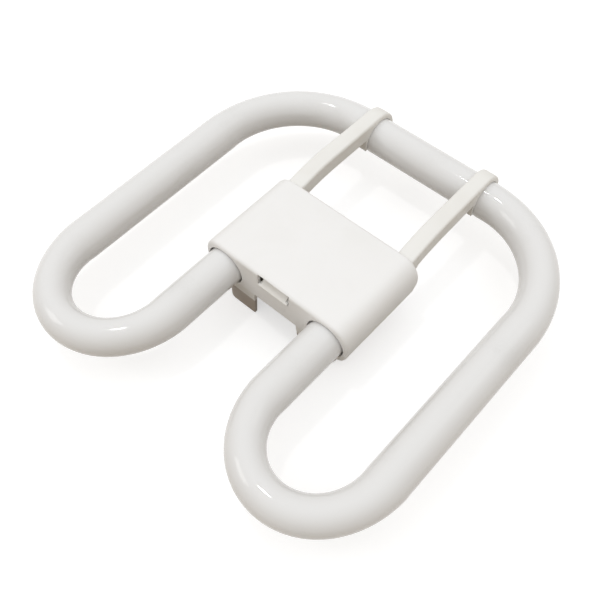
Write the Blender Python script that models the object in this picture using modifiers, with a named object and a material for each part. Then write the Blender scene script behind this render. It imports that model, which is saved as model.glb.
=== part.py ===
"""Square compact fluorescent lamp: a discharge tube bent into two D loops and clipped to a plug-in cap.

The origin is on the plane that the cap's skirt stands on, under the middle of the lamp's plan. +X runs
to the lamp's right, +Y from the two tube legs to the closed back run, +Z up to the cover's flat top.
Sizes are in metres.
"""

import math

import bmesh
import bpy
from mathutils import Matrix, Vector

COLLECTION = "square_fluorescent_lamp"

# Fits
GAP = 0.0003
MERGE = 0.00001
GRID_DIGITS = 7
FLAT = math.radians(0.2)
EDGE = math.radians(5)

# Width of the housing, which the legs, the arms and the skirt follow
HOUSING_HALF_WIDTH = 0.0430

# Discharge tube, in plan
AXIS_HEIGHT = 0.0242
LEG_INSET = 0.0125
LEG_X = HOUSING_HALF_WIDTH - LEG_INSET
APEX_X = 0.0615
OUTER_X = 0.0923
FRONT_Y = -0.09305
BACK_Y = 0.08975
LEG_BEND_DEPTH = 0.0342
SIDE_BEND_DEPTH = 0.0352
CORNER_WIDTH = 0.0518
CORNER_DEPTH = 0.0525

# Discharge tube, section by section
LEG_RADIUS = 0.0096
BEND_RADIUS = 0.0087
SIDE_RADIUS = 0.0098
CORNER_RADIUS = 0.0092
BACK_RADIUS = 0.0096
LEG_END_Y = 0.00415
SHOULDER_LENGTH = 0.0050
EXHAUST_RADIUS = 0.0018
EXHAUST_LENGTH = 0.0060
BEND_STEPS = 11
CORNER_STEPS = 13
STRAIGHT_STEPS = 4
ROLL_STEPS = 10
HOOK_STEPS = 11
JAW_STEPS = 5
DRAW_STEPS = 4

# Housing
HOUSING_FRONT_Y = -0.02305
HOUSING_BACK_Y = 0.02885
COVER_RISE = 0.0125
COVER_SIDE_ROUNDING = 0.0090
COVER_TOP_ROUNDING = 0.0102
COVER_DRAW_IN = 0.0008
COVER_EDGE_BEVEL = 0.0018
COVER_WALL = 0.0018
SEAM_DROP = 0.0040
BIB_DROP = 0.0070
BIB_INSET = 0.0194
LEG_CLEARANCE = 0.0007
FRONT_CLEARANCE = 0.0009

BASE_WALL = 0.0018
BASE_INSET = 0.0004
BASE_SIDE_ROUNDING = 0.0090
BASE_FLOOR_ROUNDING = 0.0068
BASE_EDGE_BEVEL = 0.0012
LIP_WALL = 0.0013
LIP_RISE = 0.0045
RIB_WALL = 0.0013
RIB_BED = 0.0004
FRONT_RIB_Y = -0.01585
REAR_RIB_Y = -0.00385

# Skirt around the contact pins
SKIRT_INSET = 0.0104
SKIRT_WALL = 0.0016
SKIRT_SETBACK = 0.00015
SKIRT_CORNER = 0.0055
NOTCH_HALF_WIDTH = 0.0128
NOTCH_FLARE = 0.0012
POCKET_DEPTH = 0.0046
RIM_BEVEL = 0.0004

# Contact pins on their block
PIN_SPACING_X = 0.0100
PIN_SPACING_Y = 0.0100
PIN_RADIUS = 0.0012
PIN_BORE_RADIUS = 0.00065
PIN_FLANGE_RADIUS = 0.0019
PIN_FLANGE_HEIGHT = 0.0007
PIN_HEAD_HEIGHT = 0.0022
PIN_LENGTH = 0.0066
BLOCK_HALF_WIDTH = 0.0105
BLOCK_HALF_DEPTH = 0.0085
BLOCK_HEIGHT = 0.0022
KEY_HALF_WIDTH = 0.0020
KEY_HALF_DEPTH = 0.0045
KEY_HEIGHT = 0.0030

# Snap tongues that hold the cover, front and back
TONGUE_HALF_WIDTH = 0.0086
TONGUE_WALL = 0.0014
TONGUE_SETBACK = 0.0001
NOSE_RISE = 0.0053
NOSE_HEIGHT = 0.0040
NOSE_TIP = 0.0004
NOSE_PROUD = 0.0008
NOSE_LIP = 0.0008
NOSE_END_CUT = 0.0012
WINDOW_TOP = 0.0117
WINDOW_CLEARANCE = 0.0008
SIDE_SNAP_Y = -0.00355
SIDE_SNAP_HALF_WIDTH = 0.0018
SIDE_SNAP_HEIGHT = 0.0018

# Arms and the clips at their ends
ARM_ROOT_INSET = 0.0094
ARM_TIP_INSET = 0.0099
ARM_ROOT_WIDTH = 0.0088
ARM_TIP_WIDTH = 0.0084
ARM_ROOT_RISE = 0.0096
ARM_HEIGHT = 0.0082
ARM_ROOT_DEPTH = 0.0052
ARM_WALL = 0.0016
ARM_EDGE_BEVEL = 0.0012
GUSSET_REACH = 0.0050
ARM_RAMP_LENGTH = 0.0240
CLIP_WALL = 0.0027
CLIP_TIP_WALL = 0.0016
JAW_WALL = 0.0014
CLIP_ANGLE = math.radians(18)
JAW_ANGLE = math.radians(16)

# Lead wires and their sleeves
WIRE_RADIUS = 0.00035
WIRE_SPREAD = 0.0032
WIRE_IN_PIN = 0.0018
WIRE_LEAD_OUT = 0.0045
WIRE_TURN_X = 0.0040
WIRE_SWING = 0.0028
OUTER_TURN_Y = 0.0105
INNER_TURN_Y = 0.0070
OUTER_MIDDLE_Y = 0.0060
INNER_MIDDLE_Y = 0.0015
WIRE_MIDDLE_DROP = 0.0010
WIRE_MIDDLE_SWING = 0.0016
WIRE_APPROACH = 0.0012
WIRE_DESCENT = 0.0040
SLEEVE_BORE_RADIUS = 0.00065
SLEEVE_WALL = 0.00035
SLEEVE_SETBACK = 0.0020

# Cement pads between the legs and the cover
PAD_INNER_REACH = 0.0066
PAD_OUTER_REACH = 0.0030
PAD_LENGTH = 0.0085
PAD_SKIN = 0.0004

# Levels that follow from the sizes above, measured from the plane of the skirt's rim
COVER_TOP = AXIS_HEIGHT + COVER_RISE
SEAM = AXIS_HEIGHT - SEAM_DROP
BIB_BOTTOM = AXIS_HEIGHT - BIB_DROP
LIP_TOP = SEAM + LIP_RISE
HOLE_RADIUS = LEG_RADIUS + LEG_CLEARANCE
BASE_BOTTOM = AXIS_HEIGHT - HOLE_RADIUS - RIB_BED - BASE_WALL
FLOOR_TOP = BASE_BOTTOM + BASE_WALL
BLOCK_FACE = BASE_BOTTOM - BLOCK_HEIGHT
BIB_HALF_WIDTH = HOUSING_HALF_WIDTH - BIB_INSET
SKIRT_HALF_WIDTH = HOUSING_HALF_WIDTH - SKIRT_INSET
ARM_ROOT_X = HOUSING_HALF_WIDTH - ARM_ROOT_INSET
ARM_TIP_X = HOUSING_HALF_WIDTH - ARM_TIP_INSET
SEAM_HALF_WIDTH = HOUSING_HALF_WIDTH - COVER_DRAW_IN
BASE_HALF_WIDTH = SEAM_HALF_WIDTH - BASE_INSET
BASE_FRONT_Y = HOUSING_FRONT_Y + BASE_INSET
BASE_BACK_Y = HOUSING_BACK_Y - BASE_INSET
SKIRT_HALF_DEPTH = -BASE_FRONT_Y - SKIRT_SETBACK
INNER_HALF_WIDTH = SEAM_HALF_WIDTH - COVER_WALL
INNER_FRONT_Y = HOUSING_FRONT_Y + COVER_WALL
INNER_BACK_Y = HOUSING_BACK_Y - COVER_WALL
SLOT_INSIDE_Y = INNER_BACK_Y - COVER_WALL / 2
CLIP_BORE = BACK_RADIUS + GAP
ARM_TIP_RISE = CLIP_BORE + CLIP_WALL
ARM_TAPER_END_Y = BACK_Y - BACK_RADIUS
PIN_TOP = FLOOR_TOP + GAP + PIN_FLANGE_HEIGHT + PIN_HEAD_HEIGHT


def clear_scene():
    """Remove every object that the file opens with."""
    for thing in list(bpy.data.objects):
        bpy.data.objects.remove(thing, do_unlink=True)


def collection(name):
    """A new collection under the scene's own."""
    group = bpy.data.collections.new(name)
    bpy.context.scene.collection.children.link(group)
    return group


def material(name, colour, roughness, metallic=0.0):
    """A Principled BSDF material with one colour."""
    made = bpy.data.materials.new(name)
    made.use_nodes = True
    shader = made.node_tree.nodes["Principled BSDF"]
    shader.inputs["Base Color"].default_value = (*colour, 1.0)
    shader.inputs["Roughness"].default_value = roughness
    shader.inputs["Metallic"].default_value = metallic
    return made


def place(name, mesh, group):
    """An object for a mesh, in a collection."""
    thing = bpy.data.objects.new(name, mesh)
    group.objects.link(thing)
    return thing


def on_grid(mesh):
    """Round a mesh's points to a fine grid, so that planes meant to be one are exactly one."""
    for vertex in mesh.vertices:
        vertex.co = [round(value, GRID_DIGITS) for value in vertex.co]


def from_bmesh(name, bm, group):
    """An object from a bmesh, with its faces turned outwards."""
    bmesh.ops.recalc_face_normals(bm, faces=bm.faces[:])
    mesh = bpy.data.meshes.new(name)
    bm.to_mesh(mesh)
    bm.free()
    on_grid(mesh)
    return place(name, mesh, group)


def as_guide(thing):
    """Show a cutter or a piece to be joined as wires, and keep it out of renders."""
    thing.hide_render = True
    thing.display_type = "WIRE"
    return thing


def combine(target, tool, operation):
    """Join, cut or keep what is common with another closed mesh."""
    step = target.modifiers.new(f"{operation.lower()} {tool.name}", "BOOLEAN")
    step.operation = operation
    step.solver = "EXACT"
    step.object = as_guide(tool)


def baked(thing, group, flat=False):
    """The mesh of a curve in place of the curve: welded, with the pieces of flat faces joined if asked."""
    graph = bpy.context.evaluated_depsgraph_get()
    mesh = bpy.data.meshes.new_from_object(thing.evaluated_get(graph))
    bm = bmesh.new()
    bm.from_mesh(mesh)
    bmesh.ops.remove_doubles(bm, verts=bm.verts[:], dist=MERGE)
    if flat:
        bmesh.ops.dissolve_limit(bm, angle_limit=FLAT, verts=bm.verts[:], edges=bm.edges[:])
    bmesh.ops.recalc_face_normals(bm, faces=bm.faces[:])
    bm.to_mesh(mesh)
    bm.free()
    made = place("baked", mesh, group)
    label = thing.name
    bpy.data.objects.remove(thing, do_unlink=True)
    made.name = label
    return made


def box(name, low, high, group):
    """A block between two corners."""
    bm = bmesh.new()
    size = Vector(high) - Vector(low)
    middle = (Vector(high) + Vector(low)) / 2
    bmesh.ops.create_cube(bm, size=1.0, matrix=Matrix.Translation(middle) @ Matrix.Diagonal((*size, 1.0)))
    return from_bmesh(name, bm, group)


def rod(name, radius, start, end, group, sides=32):
    """A round bar along +Y between two points."""
    length = end[1] - start[1]
    middle = (Vector(start) + Vector(end)) / 2
    bm = bmesh.new()
    turn = Matrix.Rotation(math.pi / 2, 4, "X")
    bmesh.ops.create_cone(
        bm,
        cap_ends=True,
        segments=sides,
        radius1=radius,
        radius2=radius,
        depth=length,
        matrix=Matrix.Translation(middle) @ turn,
    )
    return from_bmesh(name, bm, group)


def arc(centre, radii, start, end, steps):
    """Points on an elliptic arc, both ends counted, with angles in radians."""
    turns = [start + (end - start) * i / steps for i in range(steps + 1)]
    return [(centre[0] + radii[0] * math.cos(t), centre[1] + radii[1] * math.sin(t)) for t in turns]


def flat_curve(name, outlines, thickness, group):
    """A filled 2D curve of straight pieces, half its thickness to each side, as a welded mesh."""
    curve = bpy.data.curves.new(name, "CURVE")
    curve.dimensions = "2D"
    curve.fill_mode = "BOTH"
    curve.extrude = thickness / 2
    for outline in outlines:
        spline = curve.splines.new("POLY")
        spline.points.add(len(outline) - 1)
        for point, (u, v) in zip(spline.points, outline):
            point.co = (u, v, 0.0, 1.0)
        spline.use_cyclic_u = True
    return baked(place(name, curve, group), group, flat=True)


def slab_along_y(name, outline, y_low, y_high, group):
    """An XZ outline carried along Y."""
    thing = flat_curve(name, [outline], y_high - y_low, group)
    turn = Matrix.Rotation(math.pi / 2, 4, "X")
    thing.data.transform(Matrix.Translation((0.0, (y_low + y_high) / 2, 0.0)) @ turn)
    on_grid(thing.data)
    return thing


def slab_along_x(name, outline, x_low, x_high, group):
    """A YZ outline carried along X."""
    thing = flat_curve(name, [outline], x_high - x_low, group)
    swap = Matrix(((0, 0, 1, 0), (1, 0, 0, 0), (0, 1, 0, 0), (0, 0, 0, 1)))
    thing.data.transform(Matrix.Translation(((x_low + x_high) / 2, 0.0, 0.0)) @ swap)
    on_grid(thing.data)
    return thing


def slab_along_z(name, outlines, z_low, z_high, group):
    """XY outlines carried along Z, the second one being a hole."""
    thing = flat_curve(name, outlines, z_high - z_low, group)
    thing.data.transform(Matrix.Translation((0.0, 0.0, (z_low + z_high) / 2)))
    on_grid(thing.data)
    return thing


def rounded_rectangle(half_width, half_depth, radius, steps=6):
    """Plan outline of a rectangle with round corners about the origin."""
    points = []
    for quarter, (sx, sy) in enumerate(((1, 1), (-1, 1), (-1, -1), (1, -1))):
        centre = (sx * (half_width - radius), sy * (half_depth - radius))
        start = quarter * math.pi / 2
        points += arc(centre, (radius, radius), start, start + math.pi / 2, steps)
    return points


def soften(thing, width, chosen, segments=2):
    """Bevel the real edges, not those within a flat face, whose two ends pass a test."""
    bm = bmesh.new()
    bm.from_mesh(thing.data)
    edges = [e for e in bm.edges if e.calc_face_angle(0.0) > EDGE and chosen(e.verts[0].co, e.verts[1].co)]
    bmesh.ops.bevel(
        bm, geom=edges, offset=width, segments=segments, profile=0.5, affect="EDGES", clamp_overlap=True
    )
    bmesh.ops.remove_doubles(bm, verts=bm.verts[:], dist=MERGE)
    bm.to_mesh(thing.data)
    bm.free()
    on_grid(thing.data)


def smooth(thing, angle=40):
    """Shade a piece smooth, and keep its edges sharp."""
    thing.data.shade_smooth()
    thing.data.set_sharp_from_angle(angle=math.radians(angle))


def squeezed(before, after, waist, t):
    """Radius along a bend: from one straight's to the next's, drawn down to its waist in between."""
    straight = before + (after - before) * t
    plateau = 1 - (2 * t - 1) ** 4
    return straight - (straight - waist) * plateau


def loop_path():
    """Centre points and radii of the tube's right half, from its end in the cap to the back run's middle."""
    tip_y = LEG_END_Y + EXHAUST_LENGTH
    ends = [(tip_y, EXHAUST_RADIUS * 0.45), (tip_y - EXHAUST_RADIUS, EXHAUST_RADIUS)]
    ends.append((LEG_END_Y + GAP, EXHAUST_RADIUS))
    for angle in (10, 30, 55, 90):
        turn = math.radians(angle)
        ends.append((
            LEG_END_Y - SHOULDER_LENGTH * (1 - math.cos(turn)),
            EXHAUST_RADIUS + (LEG_RADIUS - EXHAUST_RADIUS) * math.sin(turn),
        ))
    path = [((LEG_X, y), radius) for y, radius in ends]

    leg_bend_y = FRONT_Y + LEG_BEND_DEPTH
    side_bend_y = FRONT_Y + SIDE_BEND_DEPTH
    start_y = ends[-1][0]
    for i in range(1, STRAIGHT_STEPS):
        path.append(((LEG_X, start_y + (leg_bend_y - start_y) * i / STRAIGHT_STEPS), LEG_RADIUS))

    apex = 1.5 * math.pi
    inner = arc((APEX_X, leg_bend_y), (APEX_X - LEG_X, LEG_BEND_DEPTH), math.pi, apex, BEND_STEPS)
    outer = arc((APEX_X, side_bend_y), (OUTER_X - APEX_X, SIDE_BEND_DEPTH), apex, 2 * math.pi, BEND_STEPS)
    bend = inner + outer[1:]
    for i, point in enumerate(bend):
        path.append((point, squeezed(LEG_RADIUS, SIDE_RADIUS, BEND_RADIUS, i / (len(bend) - 1))))

    corner_y = BACK_Y - CORNER_DEPTH
    for i in range(1, STRAIGHT_STEPS):
        path.append(((OUTER_X, side_bend_y + (corner_y - side_bend_y) * i / STRAIGHT_STEPS), SIDE_RADIUS))

    corner_x = OUTER_X - CORNER_WIDTH
    corner = arc((corner_x, corner_y), (CORNER_WIDTH, CORNER_DEPTH), 0.0, math.pi / 2, CORNER_STEPS)
    for i, point in enumerate(corner):
        path.append((point, squeezed(SIDE_RADIUS, BACK_RADIUS, CORNER_RADIUS, i / CORNER_STEPS)))
    path.append(((corner_x / 2, BACK_Y), BACK_RADIUS))
    return path


def glass_tube(group, finish):
    """The whole sealed tube as one blown piece: a curve whose thickness follows the bends."""
    right = loop_path()
    left = [((-x, y), radius) for (x, y), radius in reversed(right)]
    path = right + left
    curve = bpy.data.curves.new("glass_tube", "CURVE")
    curve.dimensions = "3D"
    curve.bevel_depth = 1.0
    curve.bevel_resolution = 7
    curve.use_fill_caps = True
    spline = curve.splines.new("POLY")
    spline.points.add(len(path) - 1)
    for point, ((x, y), radius) in zip(spline.points, path):
        point.co = (x, y, AXIS_HEIGHT, 1.0)
        point.radius = radius
    tube = baked(place("glass_tube", curve, group), group)
    tube.data.materials.append(finish)
    smooth(tube)
    return tube


def cover_section(inset, low):
    """XZ outline of the cover: a flat top that rolls over into long sides drawn in a little at the seam."""
    roll = COVER_SIDE_ROUNDING - inset
    drop = COVER_TOP_ROUNDING - inset
    shoulder = COVER_TOP - COVER_TOP_ROUNDING
    centre = HOUSING_HALF_WIDTH - COVER_SIDE_ROUNDING
    side = [(SEAM_HALF_WIDTH - inset, low)]
    for i in range(DRAW_STEPS):
        t = 1 - i / DRAW_STEPS
        side.append((HOUSING_HALF_WIDTH - inset - COVER_DRAW_IN * t * t, shoulder + (SEAM - shoulder) * t))
    right = side + arc((centre, shoulder), (roll, drop), 0.0, math.pi / 2, ROLL_STEPS)
    left = [(-x, z) for x, z in reversed(right)]
    return right + left


def base_section(inset, high):
    """XZ outline of the base tray: a flat floor that rolls up into its long sides."""
    half = BASE_HALF_WIDTH - inset
    radii = (BASE_SIDE_ROUNDING - inset, BASE_FLOOR_ROUNDING - inset)
    centre = (BASE_HALF_WIDTH - BASE_SIDE_ROUNDING, BASE_BOTTOM + BASE_FLOOR_ROUNDING)
    right = arc(centre, radii, -math.pi / 2, 0.0, ROLL_STEPS)
    left = [(-x, z) for x, z in reversed(right)]
    return right + [(half, high), (-half, high)] + left


def leg_hole(side, tools, name):
    """A bar along a tube leg, to cut its way through walls and ribs."""
    start = (side * LEG_X, HOUSING_FRONT_Y - COVER_WALL, AXIS_HEIGHT)
    return rod(name, HOLE_RADIUS, start, (side * LEG_X, LEG_END_Y, AXIS_HEIGHT), tools)


def front_hole(side, tools, name, spare):
    """A shorter and wider bar, for the looser hole in the front wall."""
    start = (side * LEG_X, HOUSING_FRONT_Y - COVER_WALL, AXIS_HEIGHT)
    end = (side * LEG_X, INNER_FRONT_Y + LIP_WALL + GAP + spare, AXIS_HEIGHT)
    return rod(name, LEG_RADIUS + FRONT_CLEARANCE, start, end, tools)


def arm_blend(y):
    """How far along an arm a point lies, 0 at the housing's back wall and 1 where it meets the tube."""
    return min(1.0, max(0.0, (y - HOUSING_BACK_Y) / (ARM_TAPER_END_Y - HOUSING_BACK_Y)))


def arm_middle(y):
    """X of an arm's centre line in plan."""
    return ARM_ROOT_X + (ARM_TIP_X - ARM_ROOT_X) * arm_blend(y)


def arm_width(y):
    """Width of an arm in plan."""
    return ARM_ROOT_WIDTH + (ARM_TIP_WIDTH - ARM_ROOT_WIDTH) * arm_blend(y)


def arm_rise(y):
    """Height of an arm's top over the tube's axis: it climbs near its root and then runs level."""
    t = min(1.0, max(0.0, (y - HOUSING_BACK_Y) / ARM_RAMP_LENGTH))
    return ARM_ROOT_RISE + (ARM_TIP_RISE - ARM_ROOT_RISE) * math.sin(t * math.pi / 2)


def arm_tops():
    """Y of the points that shape an arm's top between its slot in the cover and the tube."""
    ramp = [HOUSING_BACK_Y + ARM_RAMP_LENGTH * i / 4 for i in range(5)]
    return [SLOT_INSIDE_Y + GAP] + ramp


def arm_outline():
    """YZ outline of an arm with its clip: root, top, hook round the tube, bore, lower jaw and underside."""
    top = [(y, AXIS_HEIGHT + arm_rise(y)) for y in arm_tops()]
    centre = (BACK_Y, AXIS_HEIGHT)
    hook = []
    for i in range(HOOK_STEPS + 1):
        t = i / HOOK_STEPS
        turn = math.pi / 2 - (math.pi / 2 + CLIP_ANGLE) * t
        radius = ARM_TIP_RISE - (CLIP_WALL - CLIP_TIP_WALL) * t ** 3
        hook.append((BACK_Y + radius * math.cos(turn), AXIS_HEIGHT + radius * math.sin(turn)))
    jaw_end = math.pi + JAW_ANGLE
    bore = arc(centre, (CLIP_BORE, CLIP_BORE), -CLIP_ANGLE, jaw_end, 2 * HOOK_STEPS)

    outside = CLIP_BORE + JAW_WALL
    under = AXIS_HEIGHT + ARM_TIP_RISE - ARM_HEIGHT
    jaw_start = math.pi - math.asin((under - AXIS_HEIGHT) / outside)
    jaw = arc(centre, (outside, outside), jaw_end, jaw_start, JAW_STEPS)

    bottom = [(y, AXIS_HEIGHT + arm_rise(y) - ARM_HEIGHT) for y in reversed(arm_tops()[2:])]
    wall_under = AXIS_HEIGHT + ARM_ROOT_RISE - ARM_HEIGHT
    gusset = arc(
        (HOUSING_BACK_Y + GUSSET_REACH, wall_under - GUSSET_REACH),
        (GUSSET_REACH, GUSSET_REACH),
        math.pi / 2,
        math.pi,
        4,
    )
    root = [(BASE_BACK_Y - BASE_WALL / 2, SEAM - COVER_WALL), (SLOT_INSIDE_Y + GAP, SEAM - COVER_WALL)]
    bottom = [point for point in bottom if point[0] > gusset[0][0] + GAP]
    return top + hook + bore + jaw + bottom + gusset + root


def arm_prism(name, outline, side, spare, group):
    """An arm's YZ outline carried across its width, then drawn to the arm's plan."""
    thing = slab_along_x(name, outline, -0.5, 0.5, group)
    bm = bmesh.new()
    bm.from_mesh(thing.data)
    for y in (HOUSING_BACK_Y, ARM_TAPER_END_Y):
        everything = bm.verts[:] + bm.edges[:] + bm.faces[:]
        bmesh.ops.bisect_plane(bm, geom=everything, dist=MERGE, plane_co=(0.0, y, 0.0), plane_no=(0, 1, 0))
    bm.to_mesh(thing.data)
    bm.free()
    for vertex in thing.data.vertices:
        y = vertex.co.y
        vertex.co.x = side * arm_middle(y) + vertex.co.x * (arm_width(y) - 2 * spare)
    on_grid(thing.data)
    return thing


def arm(side, label, group):
    """One arm with its clip, hollowed from below as a moulder would."""
    thing = arm_prism(f"arm_{label}", arm_outline(), side, 0.0, group)
    start = HOUSING_BACK_Y + GUSSET_REACH + ARM_WALL
    end = BACK_Y - CLIP_BORE - CLIP_WALL - ARM_WALL
    ceiling = [start] + [y for y in arm_tops() if start < y < end] + [end]
    top = [(y, AXIS_HEIGHT + arm_rise(y) - ARM_WALL) for y in ceiling]
    low = AXIS_HEIGHT - ARM_HEIGHT
    hollow = arm_prism(f"arm_hollow_{label}", [(start, low)] + top + [(end, low)], side, ARM_WALL, group)

    def along_top(a, b):
        """Whether an edge runs along one side of the arm's top."""
        return on_arm_top(a) and on_arm_top(b) and same_side(a, b, side)

    soften(thing, ARM_EDGE_BEVEL, along_top, segments=3)
    combine(thing, hollow, "DIFFERENCE")
    return thing


def arm_root(side, label, tools):
    """The foot of an arm inside the housing, kept clear of the cover's rolled side."""
    half = ARM_ROOT_WIDTH / 2 - GAP
    near = INNER_BACK_Y - ARM_ROOT_DEPTH
    foot = box(
        f"arm_root_{label}",
        (side * ARM_ROOT_X - half, near, FLOOR_TOP - GAP),
        (side * ARM_ROOT_X + half, SLOT_INSIDE_Y + 1.5 * GAP, AXIS_HEIGHT + ARM_ROOT_RISE - GAP),
        tools,
    )
    section = cover_section(COVER_WALL + GAP, BASE_BOTTOM)
    limit = slab_along_y(f"arm_root_limit_{label}", section, near - BASE_WALL, INNER_BACK_Y, tools)
    combine(foot, limit, "INTERSECT")
    return foot


def on_arm_top(point):
    """Whether a point lies on the top of an arm or the outside of its hook, behind the housing."""
    if point.y < INNER_BACK_Y:
        return False
    rise = point.z - AXIS_HEIGHT
    over = point.y > BACK_Y and math.hypot(point.y - BACK_Y, rise) > CLIP_BORE + MERGE
    return rise > arm_rise(point.y) - MERGE or over


def same_side(a, b, side):
    """Whether an edge runs along one side face of an arm."""
    return (a.x - side * arm_middle(a.y)) * (b.x - side * arm_middle(b.y)) > 0


def snap_tongue(name, facing, group):
    """A tongue whose top slopes down to a nose, in front (facing -1) or behind (facing 1).

    Both ends of the slope are cut away above a low lip.
    """
    face = INNER_BACK_Y if facing > 0 else INNER_FRONT_Y
    outside = HOUSING_BACK_Y if facing > 0 else HOUSING_FRONT_Y
    near = face - facing * (GAP + TONGUE_SETBACK)
    back = near - facing * TONGUE_WALL
    low = AXIS_HEIGHT + NOSE_RISE
    foot = LIP_TOP - LIP_WALL
    tip = outside + facing * NOSE_PROUD
    outline = [
        (near, foot),
        (near, low),
        (tip, low),
        (tip, low + NOSE_TIP),
        (back, low + NOSE_HEIGHT),
        (back, foot),
    ]
    tongue = slab_along_x(name, outline, -TONGUE_HALF_WIDTH, TONGUE_HALF_WIDTH, group)
    depth = sorted((back - facing * TONGUE_WALL, tip + facing * TONGUE_WALL))
    for side in (1, -1):
        reach = sorted((side * (TONGUE_HALF_WIDTH - NOSE_END_CUT), side * (TONGUE_HALF_WIDTH + NOSE_END_CUT)))
        cut = box(
            f"{name}_end_{side}",
            (reach[0], depth[0], low + NOSE_LIP),
            (reach[1], depth[1], low + 2 * NOSE_HEIGHT),
            group,
        )
        combine(tongue, cut, "DIFFERENCE")
    return tongue


def window(name, facing, group):
    """The opening in a cover wall that a tongue's nose catches in."""
    low = AXIS_HEIGHT + NOSE_RISE - GAP
    half = TONGUE_HALF_WIDTH + WINDOW_CLEARANCE
    wall = (HOUSING_BACK_Y, INNER_BACK_Y) if facing > 0 else (HOUSING_FRONT_Y, INNER_FRONT_Y)
    near, far = min(wall) - COVER_WALL / 2, max(wall) + COVER_WALL / 2
    return box(name, (-half, near, low), (half, far, AXIS_HEIGHT + WINDOW_TOP), group)


def saddle_rib(name, side, y, low, high, group):
    """A cross rib that holds a tube leg, before the leg's bore is cut."""
    inner = LEG_X - HOLE_RADIUS
    outer = INNER_HALF_WIDTH - LIP_WALL / 2
    x = sorted((side * inner, side * outer))
    return box(name, (x[0], y - RIB_WALL / 2, low), (x[1], y + RIB_WALL / 2, high), group)


def housing_cover(group, tools, finish):
    """Snap-on cover: a shell with rolled sides, leg saddles, arm slots, snap windows and inner ribs."""
    section = cover_section(0.0, BIB_BOTTOM)
    cover = slab_along_y("housing_cover", section, HOUSING_FRONT_Y, HOUSING_BACK_Y, group)
    below = BIB_BOTTOM - COVER_WALL
    section = cover_section(COVER_WALL, below)
    hollow = slab_along_y("cover_hollow", section, INNER_FRONT_Y, INNER_BACK_Y, tools)
    soften(cover, COVER_EDGE_BEVEL, on_cover_rim, segments=3)
    combine(cover, hollow, "DIFFERENCE")
    outside = HOUSING_HALF_WIDTH + COVER_WALL
    trim = box(
        "seam_trim",
        (-outside, INNER_FRONT_Y + GAP, below),
        (outside, HOUSING_BACK_Y + COVER_WALL, SEAM),
        tools,
    )
    combine(cover, trim, "DIFFERENCE")
    for side, label in ((1, "right"), (-1, "left")):
        x = sorted((side * BIB_HALF_WIDTH, side * outside))
        corner = box(
            f"bib_trim_{label}",
            (x[0], HOUSING_FRONT_Y - COVER_WALL, below - GAP),
            (x[1], INNER_FRONT_Y + 2 * GAP, SEAM),
            tools,
        )
        combine(cover, corner, "DIFFERENCE")
    for side, label in ((1, "right"), (-1, "left")):
        for y, place_name in ((FRONT_RIB_Y, "front"), (REAR_RIB_Y, "rear")):
            low = max(AXIS_HEIGHT, LIP_TOP) + GAP
            high = COVER_TOP - COVER_WALL / 2
            rib = saddle_rib(f"cover_rib_{place_name}_{label}", side, y, low, high, tools)
            section = slab_along_y(
                f"cover_rib_limit_{place_name}_{label}",
                cover_section(COVER_WALL / 2, SEAM - COVER_WALL),
                y - RIB_WALL,
                y + RIB_WALL,
                tools,
            )
            combine(rib, section, "INTERSECT")
            combine(cover, rib, "UNION")
        combine(cover, leg_hole(side, tools, f"cover_leg_hole_{label}"), "DIFFERENCE")
        combine(cover, front_hole(side, tools, f"cover_front_hole_{label}", 2 * GAP), "DIFFERENCE")
        combine(cover, arm_slot(side, label, tools), "DIFFERENCE")
        combine(cover, side_snap_notch(side, label, tools), "DIFFERENCE")
    combine(cover, window("window_front", -1, tools), "DIFFERENCE")
    combine(cover, window("window_back", 1, tools), "DIFFERENCE")
    cover.data.materials.append(finish)
    smooth(cover)
    return cover


def on_end(a, b, ends):
    """Whether an edge lies in one of two planes across Y."""
    return any(abs(a.y - y) < MERGE and abs(b.y - y) < MERGE for y in ends)


def on_cover_rim(a, b):
    """Whether an edge runs round the front or the back end of the cover, above its open side."""
    return on_end(a, b, (HOUSING_FRONT_Y, HOUSING_BACK_Y)) and max(a.z, b.z) > BIB_BOTTOM + MERGE


def on_base_rim(a, b):
    """Whether an edge runs round the front or the back end of the base tray, below its top."""
    return on_end(a, b, (BASE_FRONT_Y, BASE_BACK_Y)) and min(a.z, b.z) < SEAM - GAP - MERGE


def arm_slot(side, label, tools):
    """Slot in the cover's back wall, open below, that an arm stands in."""
    half = ARM_ROOT_WIDTH / 2 + GAP
    high = AXIS_HEIGHT + arm_rise(HOUSING_BACK_Y) + GAP
    return box(
        f"arm_slot_{label}",
        (side * ARM_ROOT_X - half, SLOT_INSIDE_Y, SEAM - COVER_WALL),
        (side * ARM_ROOT_X + half, HOUSING_BACK_Y + COVER_WALL / 2, high),
        tools,
    )


def side_snap_notch(side, label, tools):
    """Small notch in the cover's lower side edge, over a nub of the base."""
    x = sorted((side * (INNER_HALF_WIDTH - COVER_WALL / 2), side * (HOUSING_HALF_WIDTH + COVER_WALL)))
    half = SIDE_SNAP_HALF_WIDTH + GAP
    return box(
        f"side_snap_notch_{label}",
        (x[0], SIDE_SNAP_Y - half, SEAM - COVER_WALL),
        (x[1], SIDE_SNAP_Y + half, SEAM + SIDE_SNAP_HEIGHT + GAP),
        tools,
    )


def side_snap(side, label, tools):
    """Nub of the base that fills most of the cover's side notch."""
    x = sorted((side * (BASE_HALF_WIDTH - BASE_WALL + GAP), side * (INNER_HALF_WIDTH + COVER_WALL / 2)))
    return box(
        f"side_snap_{label}",
        (x[0], SIDE_SNAP_Y - SIDE_SNAP_HALF_WIDTH, SEAM - 2 * GAP),
        (x[1], SIDE_SNAP_Y + SIDE_SNAP_HALF_WIDTH, SEAM + SIDE_SNAP_HEIGHT),
        tools,
    )


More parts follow.
